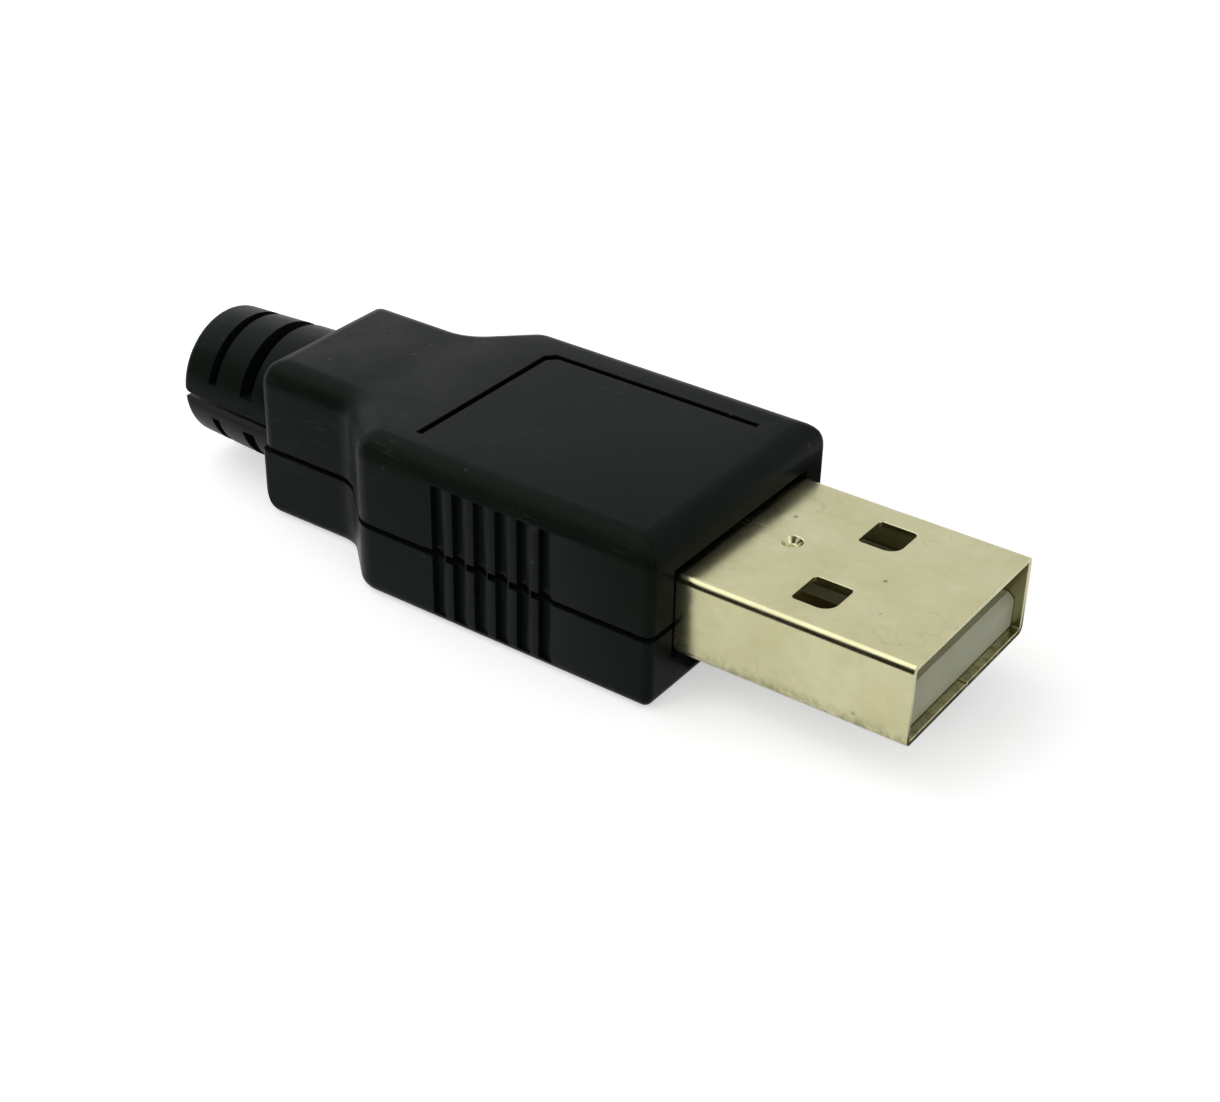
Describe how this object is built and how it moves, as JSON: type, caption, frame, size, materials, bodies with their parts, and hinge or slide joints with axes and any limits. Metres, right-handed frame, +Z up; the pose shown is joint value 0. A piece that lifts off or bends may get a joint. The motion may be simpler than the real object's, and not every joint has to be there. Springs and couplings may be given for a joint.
{
  "type": "usb-a plug",
  "caption": "Cable-end plug with a plated rectangular metal mouth, white insulator with flat contacts, and a black snap-together housing with side grip grooves and a slotted cable tube.",
  "frame": {"origin": "middle of the footprint of the whole plug, on the surface that the housing rests on", "axes": "+X out of the metal mouth, +Z up from the lower cover to the upper cover, +Y to the side of the power contact"},
  "size_m": [0.048, 0.016, 0.0093],
  "materials": {
    "housing_plastic": "satin",
    "nickel_plate": "polished",
    "white_plastic": "satin",
    "contact_gold": "polished"
  },
  "bodies": {
    "root": {"upper_cover": "housing_plastic", "lower_cover": "housing_plastic", "plug_shell": "nickel_plate", "insulator": "white_plastic", "power_contact": "contact_gold", "data_minus_contact": "contact_gold", "data_plus_contact": "contact_gold", "ground_contact": "contact_gold"}
  },
  "joints": []
}
